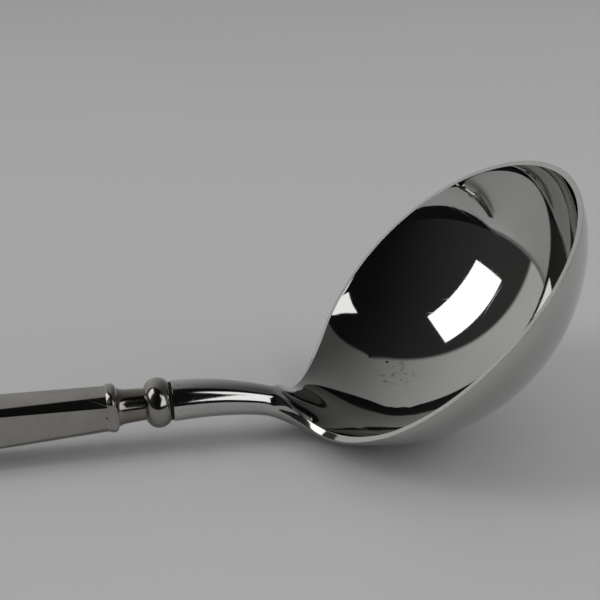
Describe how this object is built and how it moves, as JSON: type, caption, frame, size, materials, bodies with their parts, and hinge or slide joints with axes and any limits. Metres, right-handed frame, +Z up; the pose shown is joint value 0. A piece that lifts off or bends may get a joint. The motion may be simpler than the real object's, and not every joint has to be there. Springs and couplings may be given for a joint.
{
  "type": "gravy ladle",
  "caption": "Gravy ladle lying on a table: polished round bowl on a bent neck, joined through a turned collar to a long eight-sided hollow handle.",
  "frame": {"origin": "centre of the bounding box's underside, on the table that the ladle lies on", "axes": "+X from the handle's butt to the bowl's tip, +Z up, the ladle's plane of symmetry at Y = 0"},
  "size_m": [0.1756, 0.062, 0.0461],
  "materials": {
    "polished_steel": "mirror polished",
    "worn_plate": "worn satin plate with fine scratches",
    "solder": "filed flush",
    "joint_cement": "dull",
    "handle_cement": "rough"
  },
  "bodies": {
    "root": {"bowl_and_neck": "polished_steel", "joint_seal": "joint_cement", "collar": "worn_plate", "collar_solder": "solder", "handle_shell_upper": "worn_plate", "handle_shell_lower": "worn_plate", "handle_seam_solder": "solder", "handle_filler": "handle_cement"}
  },
  "joints": []
}
